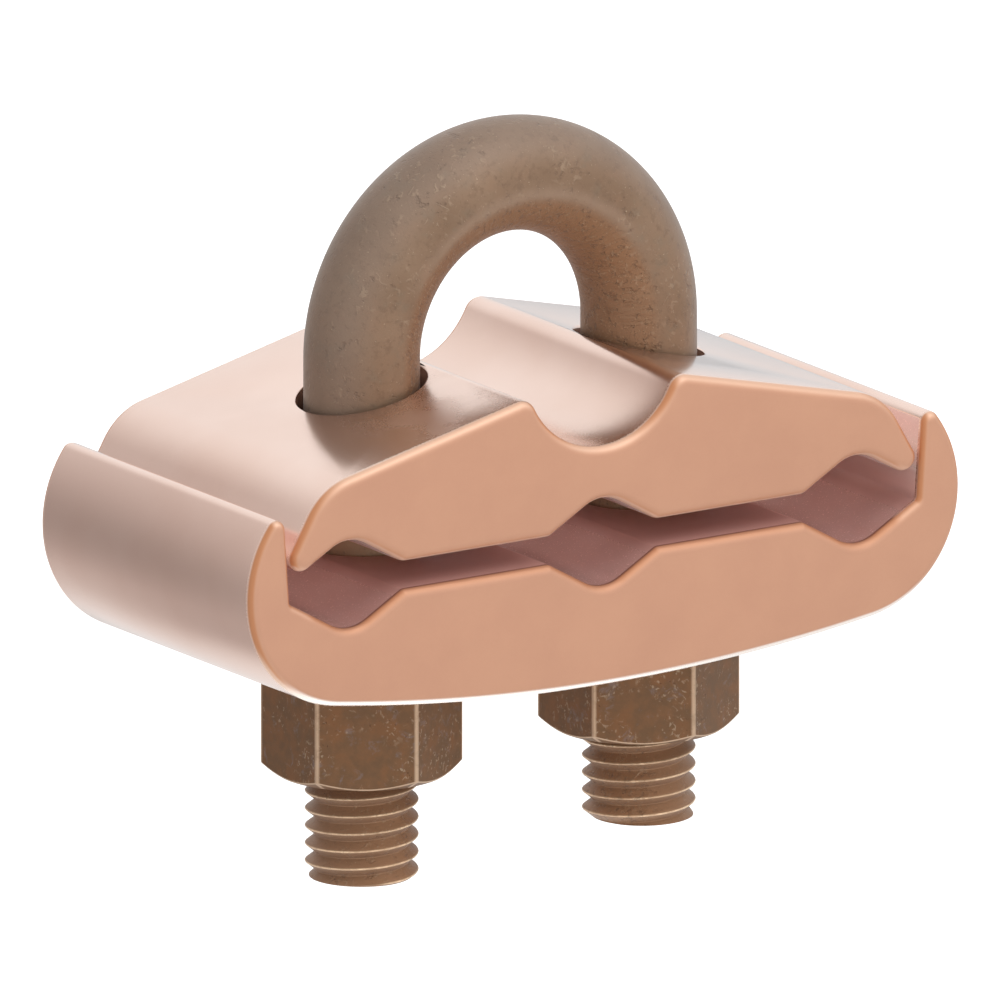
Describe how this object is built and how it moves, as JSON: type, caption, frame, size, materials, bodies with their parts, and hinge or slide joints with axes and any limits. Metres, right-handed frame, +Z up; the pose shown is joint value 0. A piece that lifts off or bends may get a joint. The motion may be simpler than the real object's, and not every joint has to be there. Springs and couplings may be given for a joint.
{
  "type": "pipe grounding connector",
  "caption": "Bronze U-bolt ground clamp: nuts draw a grooved saddle and a hooked keeper together to grip a rod or pipe under the bend and cables in the V channels between.",
  "frame": {"origin": "on the axis of the rod that the saddle's groove seats, at mid width", "axes": "+X along the length of the clamp bodies, +Y along the rod and the cables, +Z up towards the bend of the U-bolt"},
  "size_m": [0.0924, 0.0418, 0.0821],
  "materials": {
    "clamp_bronze": "smooth satin copper alloy, pink tan",
    "bolt_bronze": "brown oxidised bronze with fine pits",
    "nut_bronze": "dark brown bronze, scuffed, with bright worn edges"
  },
  "bodies": {
    "u_bolt": {"u_bolt": "bolt_bronze"},
    "saddle": {"saddle": "clamp_bronze"},
    "keeper": {"keeper": "clamp_bronze"},
    "nut_left": {"nut_left": "nut_bronze"},
    "nut_right": {"nut_right": "nut_bronze"}
  },
  "joints": [
    {"name": "saddle_slide", "type": "slide", "parent": "u_bolt", "child": "saddle", "axis": [0, 0, 1], "range_m": [-0.003, 0.005]},
    {"name": "keeper_slide", "type": "slide", "parent": "u_bolt", "child": "keeper", "axis": [0, 0, 1], "range_m": [-0.0098, 0]},
    {"name": "nut_left_spin", "type": "hinge", "parent": "keeper", "child": "nut_left", "pos_m": [-0.018, 0, -0.0424], "axis": [0, 0, 1], "range_deg": [-1810, 0]},
    {"name": "nut_right_spin", "type": "hinge", "parent": "keeper", "child": "nut_right", "pos_m": [0.018, 0, -0.0424], "axis": [0, 0, 1], "range_deg": [-1810, 0]}
  ],
  "couplings": [
    {"joint": "nut_left_spin", "follows": "keeper_slide", "rad_per_m": 3215.8},
    {"joint": "nut_right_spin", "follows": "keeper_slide", "rad_per_m": 3215.8}
  ]
}
